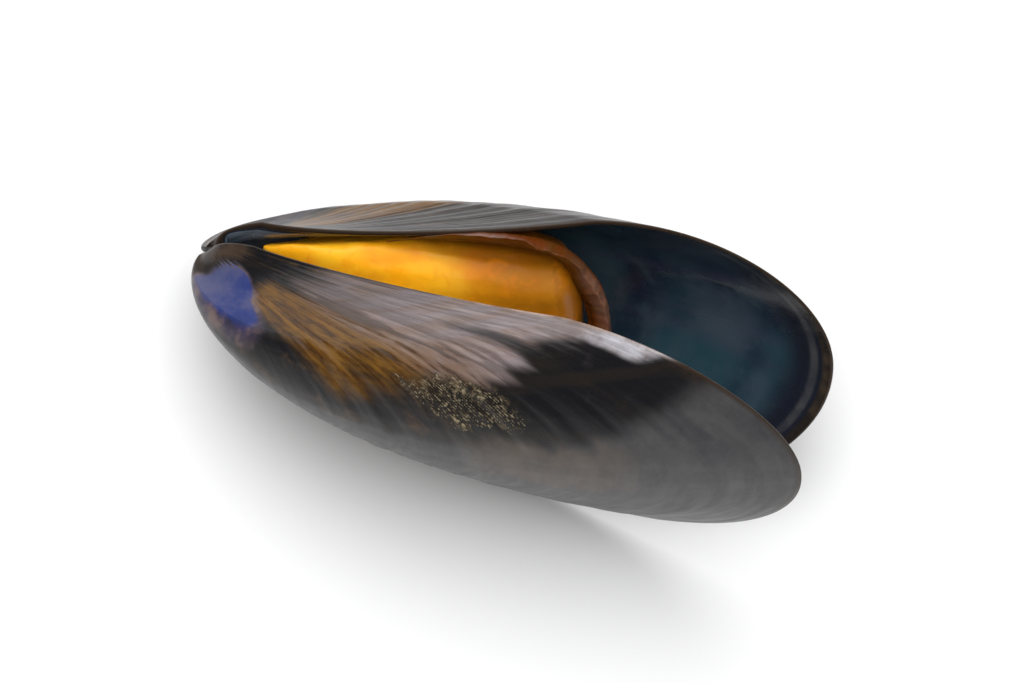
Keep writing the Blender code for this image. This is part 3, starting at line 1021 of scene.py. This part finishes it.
def evened_copy(name, node, voxel, relaxations):
    """A copy of a CAD node with even small faces, its facets smoothed away."""
    obj = new_object(name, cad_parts[node].data.copy())
    remesh = obj.modifiers.new("even_faces", "REMESH")
    remesh.mode = "VOXEL"
    remesh.voxel_size = voxel
    relax = obj.modifiers.new("relax", "SMOOTH")
    relax.factor = 0.5
    relax.iterations = relaxations
    bpy.context.view_layer.update()
    evaluated = obj.evaluated_get(bpy.context.evaluated_depsgraph_get())
    mesh = bpy.data.meshes.new_from_object(evaluated)
    obj.modifiers.clear()
    obj.data = mesh
    mesh.shade_smooth()
    mesh.materials.clear()
    return obj


def in_lower_valve(points, normals, shift):
    """World points, in shell lengths, and normals in the lower valve's own frame."""
    matrix = valve_matrix(1)
    inverse = np.array(matrix.inverted())
    local = (points - shift) @ inverse[:3, :3].T + inverse[:3, 3]
    return local / SHELL_LENGTH, normals @ np.array(matrix)[:3, :3]


def make_lobe(name, node, shift, seed):
    """A plump lobe of meat: soft swells and folds, painted lighter on the pleat tops and darker in the
    hollows and creases, and brown round its back end and along the gaping side, partly the mantle's brown
    and partly painted shade.
    """
    obj = evened_copy(name, node, MEAT_VOXEL, MEAT_RELAXATIONS)
    mesh = obj.data
    points, normals = vertex_arrays(mesh)
    local, local_normals = in_lower_valve(points, normals, shift)
    along = local[:, 0]
    lumps = layered_noise(points, 8 * MM, 95 + seed)
    wrinkles = layered_noise(points, 1.8 * MM, 90 + seed)
    drawn_long = local * (0.35, 1.0, 1.0) * SHELL_LENGTH
    pleats = layered_noise(drawn_long, 3.2 * MM, 99 + seed, 2)
    drawn_wide = (local * (1.0, 0.28, 0.28) + 0.02 * wrinkles[:, None]) * SHELL_LENGTH
    cross_folds = layered_noise(drawn_wide, 2.6 * MM, 104 + seed, 2) * fade_in(0.18, 0.34, along)

    backwards = local_normals[:, 0] + 0.05 * lumps + 0.03 * wrinkles
    sideways = -local_normals[:, 1] + 0.08 * lumps + 0.04 * wrinkles
    back_end = fade_in(0.33, 0.5, along + 0.012 * lumps)
    tip = fade_in(0.52, 0.57, along)
    rim = fade_in(0.3, 0.75, backwards) * tip
    arcs = band(0.16, 0.2, 0.05, backwards) + 0.9 * band(0.44, 0.5, 0.06, backwards)
    strip = fade_in(0.5, 0.92, sideways) * fade_in(0.2, 0.42, along)
    folds = band(0.76, 0.82, 0.06, sideways) * fade_in(0.25, 0.45, along)
    creases = np.maximum(np.clip(arcs * tip, 0, 1), folds)
    relief = MEAT_LUMPS * lumps + MEAT_PLEATS * pleats + MEAT_WRINKLES * wrinkles
    relief += MEAT_STRIP * strip - MEAT_CREASES * creases - MEAT_CROSS_FOLDS * np.maximum(cross_folds, 0)
    relief += MEAT_BACK_BULGE * fade_in(0.1, 0.6, backwards) * fade_in(0.5, 0.56, along)
    points = push_out(mesh, relief)

    from_blush = np.linalg.norm(points - BLUSH_PLACE, axis=1) / BLUSH_REACH
    store(mesh, "blush", 0.5 * fade_out(0.3, 1.0, from_blush + 0.25 * wrinkles))
    store(mesh, "cross_fold_shade", cross_folds)
    store(mesh, "back_end", back_end)
    store(mesh, "pleat_light_and_shade", pleats)
    store(mesh, "crease_shade", 0.55 * creases)
    store(mesh, "brown_rim_and_shade", 0.75 * np.maximum(rim, strip))
    return obj


def mantle_rings(share, angles):
    """Sections in the lower valve's frame, thick below, thin and wavy at the free edge."""
    path = SHELL_LENGTH * smooth_between(MANTLE_PATH, len(share))
    along = np.gradient(path, axis=0)
    across = np.column_stack([-along[:, 1], along[:, 0], np.zeros(len(share))])
    across /= np.linalg.norm(across, axis=1)[:, None]
    at_start = fade_out(0.04, 0.34, share)
    path -= MANTLE_START_SHIFT * at_start[:, None] * across
    lift = MANTLE_START_LIFT * at_start

    taper = np.minimum(np.sin(math.pi * share) ** 0.6 * fade_in(-0.06, 0.26, share), 1)
    blunt = np.sqrt(np.clip((1 - share) / MANTLE_BLUNT_END, 0, 1))
    taper = np.maximum(np.where(share > 0.5, blunt, taper), MANTLE_THINNEST)
    wave = sum(depth * random_profile(share, count, seed) for depth, count, seed in MANTLE_WAVES)
    wave -= MANTLE_TUCK * fade_out(0.1, 0.4, share)
    plump = MANTLE_PLUMP * band(0.52, 0.96, 0.06, share)
    height = MANTLE_HEIGHT * (1 + 0.1 * random_profile(share, 30, 6))

    inner = np.cos(angles)
    upright = np.sin(angles)
    rise = (1 - upright) / 2
    thin = 1 - 0.75 * rise**1.2
    rings = []
    for i, middle in enumerate(path):
        half = taper[i] * MANTLE_WIDTH / 2
        width = half * inner * thin - half * (1 - thin) + wave[i] * taper[i] * rise**2
        width += plump[i] * np.clip(inner, 0, 1)
        section = middle + width[:, None] * across[i]
        section[:, 2] += taper[i] * height[i] / 2 * upright + lift[i]
        rings.append(section)
    return np.array(rings)


def make_mantle(name, shift):
    """A soft band between the meat and the shell, grooved along its length, with painted shade in the
    grooves.
    """
    share = np.linspace(0, 1, MANTLE_STEPS)
    angles = np.linspace(0, 2 * math.pi, MANTLE_AROUND, endpoint=False)
    rise = (1 - np.sin(angles)) / 2
    matrix = np.array(valve_matrix(1))
    grid = mantle_rings(share, angles) @ matrix[:3, :3].T + matrix[:3, 3] + shift
    points = grid.reshape(-1, 3)
    normals = grid_normals(grid).reshape(-1, 3)
    outer = np.tile(np.where(np.cos(angles) < 0, 1.0, rise), MANTLE_STEPS)
    lengthwise = np.sin(22 * outer + 1.2 * layered_noise(points, 5 * MM, 34))
    shaded_groove = np.clip(lengthwise, 0, 1) ** 3 * (outer < 0.9)
    relief = MANTLE_GRAIN * layered_noise(points, 1.3 * MM, 33) - MANTLE_GROOVE * shaded_groove
    points = points + normals * relief[:, None]
    obj = mesh_of_rings(name, points.reshape(grid.shape))
    round_back = np.repeat(fade_in(0.42, 0.62, share), MANTLE_AROUND)
    free_edge = np.tile(fade_in(0.35, 0.75, rise), MANTLE_STEPS)
    store(obj.data, "pale_rim", 0.9 * fade_in(0.74, 0.95, outer) * free_edge * round_back)
    store(obj.data, "across", outer)
    store(obj.data, "shaded_groove", 0.8 * shaded_groove)
    return obj


def ball_mesh():
    """Corners and faces of a coarse ball of radius 1."""
    ball = bmesh.new()
    bmesh.ops.create_icosphere(ball, subdivisions=1, radius=1.0)
    corners = np.array([vertex.co[:] for vertex in ball.verts])
    faces = np.array([[vertex.index for vertex in face.verts] for face in ball.faces])
    ball.free()
    return corners, faces


def make_crust(name, shell):
    """Crumbs of limy crust on the outside of a valve, drawn out along its growth lines."""
    draw = np.random.default_rng(CRUST_SEED)
    points, normals = vertex_arrays(shell.data)
    mask = np.empty(len(points), np.float32)
    shell.data.attributes["crusty"].data.foreach_get("value", mask)
    chance = np.where(mask > CRUST_EDGE, mask, 0.0)
    chosen = draw.choice(len(points), CRUST_COUNT, replace=False, p=chance / chance.sum())
    corners, faces = ball_mesh()
    crumbs = []
    for index in chosen:
        out = normals[index]
        neighbour = points[index + 1] - points[index]
        along = neighbour - out * (neighbour @ out)
        along /= np.linalg.norm(along)
        side = np.cross(out, along)
        size = CRUST_SIZE * draw.lognormal(0.0, CRUMB_VARIETY)
        stretch = draw.uniform(*CRUMB_STRETCH)
        lumpy = 1 + CRUMB_LUMPS * draw.normal(size=(len(corners), 1)).clip(-1, 1)
        local = corners * lumpy * (size * stretch, size, CRUMB_HEIGHT * size)
        turn = draw.uniform(-CRUMB_TURN, CRUMB_TURN)
        turned_along = math.cos(turn) * along + math.sin(turn) * side
        turned_side = math.cos(turn) * side - math.sin(turn) * along
        crumbs.append(points[index] + local @ np.array([turned_along, turned_side, out]))
    starts = np.arange(len(crumbs))[:, None, None] * len(corners)
    mesh = bpy.data.meshes.new(name)
    mesh.from_pydata(np.concatenate(crumbs).tolist(), [], (faces + starts).reshape(-1, 3).tolist())
    mesh.shade_smooth()
    return new_object(name, mesh)


def make_ligament(name):
    """The horny band over the hinge seam, drawn into the seam and softly lumpy."""
    obj = evened_copy(name, "hinge_ligament", LIGAMENT_VOXEL, LIGAMENT_RELAXATIONS)
    grain = layered_noise(vertex_arrays(obj.data)[0], 1.2 * MM, 44)
    push_out(obj.data, LIGAMENT_SWELL + LIGAMENT_GRAIN * grain)
    return obj


def make_floor():
    bpy.ops.mesh.primitive_plane_add(size=FLOOR_SIZE, location=(0, 0, 0))
    floor = bpy.context.object
    floor.name = "floor"
    shader = Shader("pale_floor")
    shader.set(Base_Color=FLOOR_WHITE, Roughness=0.7)
    floor.data.materials.append(shader.material)


def soft_light(name, size, place, power):
    """A round area light that points at the mussel."""
    data = bpy.data.lights.new(name, "AREA")
    data.shape = "DISK"
    data.size = size
    data.energy = power
    light = new_object(name, data)
    light.location = place
    light.rotation_euler = (-Vector(place)).to_track_quat("-Z", "Y").to_euler()
    return light


def make_studio():
    """Pale surroundings that darken overhead, a soft key from behind, and a wide light with no glare."""
    world = bpy.data.worlds.new("studio")
    nodes = Nodes(world)
    direction = nodes.add("ShaderNodeTexCoord").outputs["Generated"]
    split = nodes.add("ShaderNodeSeparateXYZ", Vector=direction).outputs
    overhead = nodes.ranged(split["Z"], *OVERHEAD_FADE, HORIZON_LIGHT, OVERHEAD_LIGHT)
    frontal = nodes.ranged(split["Y"], *FRONT_FADE, BEHIND_SHARE, FRONT_SHARE)
    background = nodes.tree.nodes["Background"].inputs
    nodes.join(SKY_WHITE, background["Color"])
    nodes.join(nodes.times(overhead, frontal), background["Strength"])
    bpy.context.scene.world = world
    bpy.context.scene.view_settings.view_transform = "Standard"
    soft_light(*KEY_LIGHT)
    soft_light(*TOP_LIGHT).visible_glossy = False


def finished(obj, materials, slot, *nodes):
    """Gives a piece its materials, ties it to the body, and hides the CAD nodes that it stands for."""
    for material in materials:
        obj.data.materials.append(material)
    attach(obj, "root")
    if nodes:
        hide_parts(*nodes)


def main():
    make_camera()
    shift = resting_shift()
    shell = [shell_outside_material(), shell_inside_material()]
    finished(make_valve("lower_shell", 1, shift), shell, "shell", "lower_valve")
    upper_shell = make_valve("upper_shell", -1, shift)
    finished(upper_shell, shell, "shell", "upper_valve")
    finished(make_crust("crust_specks", upper_shell), [crust_material()], "shell")
    meat = [meat_material()]
    finished(make_lobe("lower_meat", "lower_lobe", shift, 1), meat, "meat", "lower_lobe")
    finished(make_lobe("upper_meat", "upper_lobe", shift, 2), meat, "meat", "upper_lobe")
    finished(make_mantle("mantle_frill", shift), [mantle_material()], "mantle_edge", "mantle_edge")
    finished(make_ligament("hinge_band"), [ligament_material()], "ligament", "hinge_ligament")
    make_floor()
    make_studio()


main()
